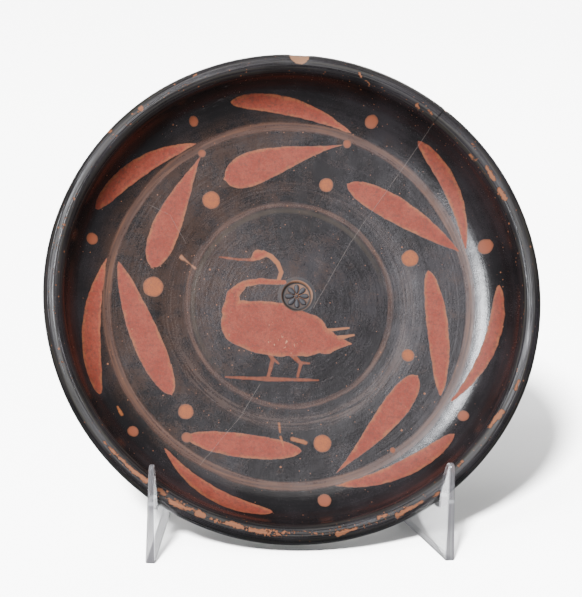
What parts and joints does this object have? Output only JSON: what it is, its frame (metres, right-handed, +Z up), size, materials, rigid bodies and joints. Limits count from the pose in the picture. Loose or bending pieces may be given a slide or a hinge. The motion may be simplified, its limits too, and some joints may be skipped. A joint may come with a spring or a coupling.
{
  "type": "footed plate",
  "caption": "Shallow footed plate of dark slipped clay with added-red wreaths and a swan, leaning in a clear acrylic easel.",
  "frame": {"origin": "on the floor under the middle of the object's box", "axes": "+Z up, the dish faces -Y and leans back towards +Y, +X to the viewer's right"},
  "size_m": [0.156, 0.0984, 0.1486],
  "materials": {
    "slipped_clay": "fired clay under a glossy black slip, with matt added red and bare orange clay at worn edges",
    "clear_acrylic": "clear cast acrylic sheet with polished edges"
  },
  "bodies": {
    "root": {"plate": "slipped_clay", "display_stand": "clear_acrylic"}
  },
  "joints": []
}
